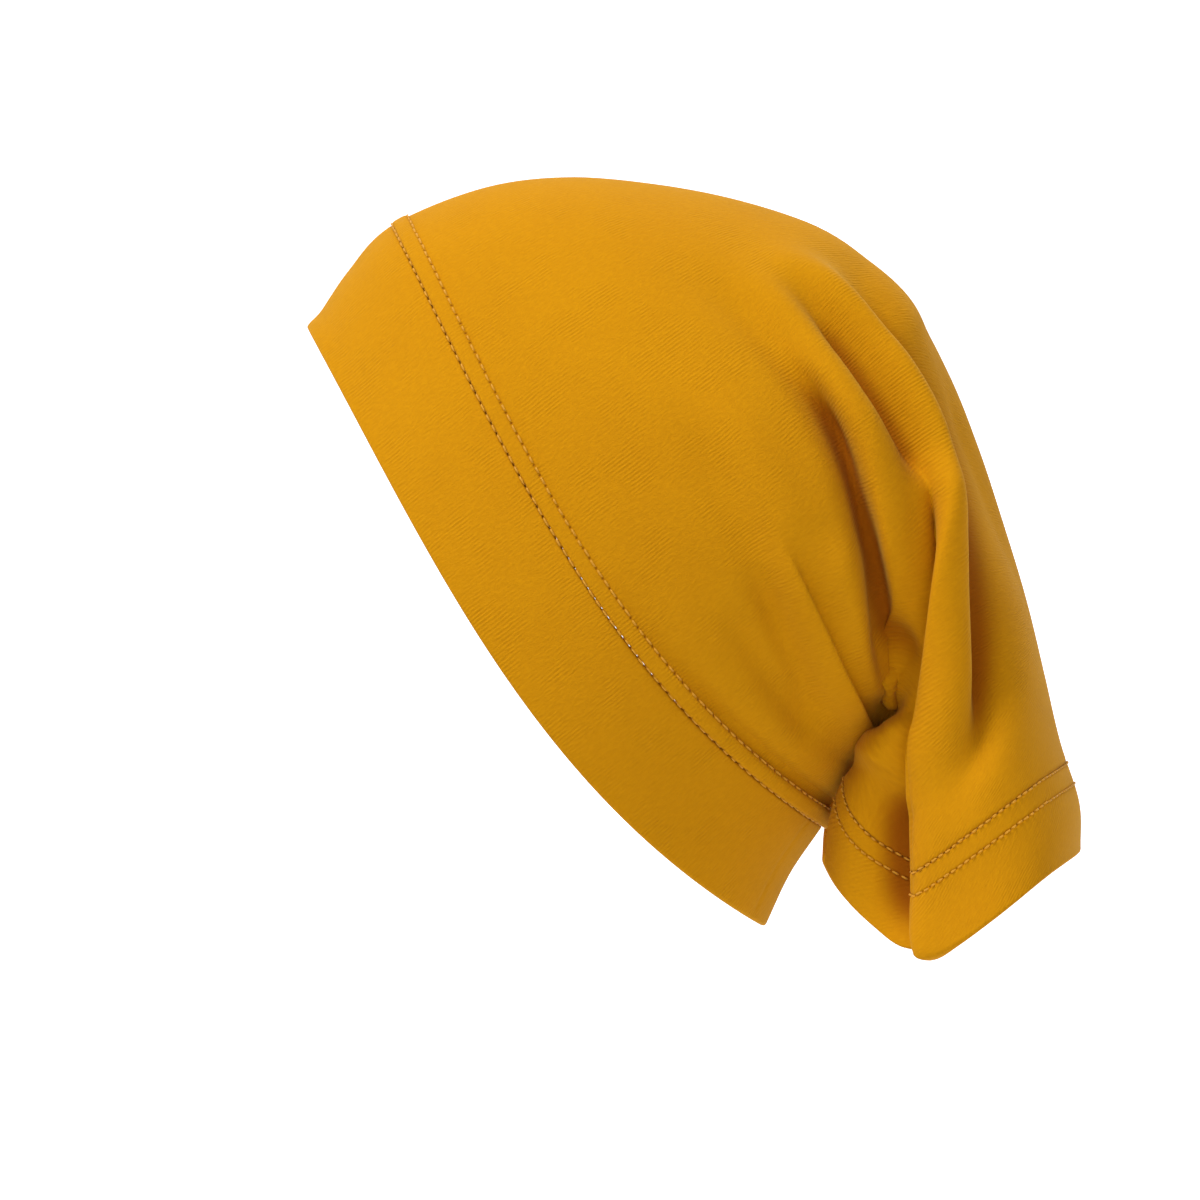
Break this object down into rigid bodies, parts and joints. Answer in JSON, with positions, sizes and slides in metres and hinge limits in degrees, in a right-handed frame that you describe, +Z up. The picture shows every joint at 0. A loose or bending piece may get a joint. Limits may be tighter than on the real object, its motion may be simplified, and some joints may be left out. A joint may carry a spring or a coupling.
{
  "type": "hijab underscarf cap",
  "caption": "Pull-on jersey underscarf cap with a turned band round the face and an open, hemmed tail that falls behind the nape.",
  "frame": {"origin": "the seat where the top of the head meets the inside of the crown", "axes": "+Z up, -X towards the face, -Y towards the wearer's left side, which is the side the picture shows"},
  "size_m": [0.2473, 0.1564, 0.2505],
  "materials": {
    "band_jersey": "matte double-layer jersey, mustard yellow",
    "crown_jersey": "matte single jersey, mustard yellow",
    "hem_jersey": "matte double-layer jersey, mustard yellow"
  },
  "bodies": {
    "root": {"front_band": "band_jersey", "crown": "crown_jersey", "tail_hem": "hem_jersey"}
  },
  "joints": []
}
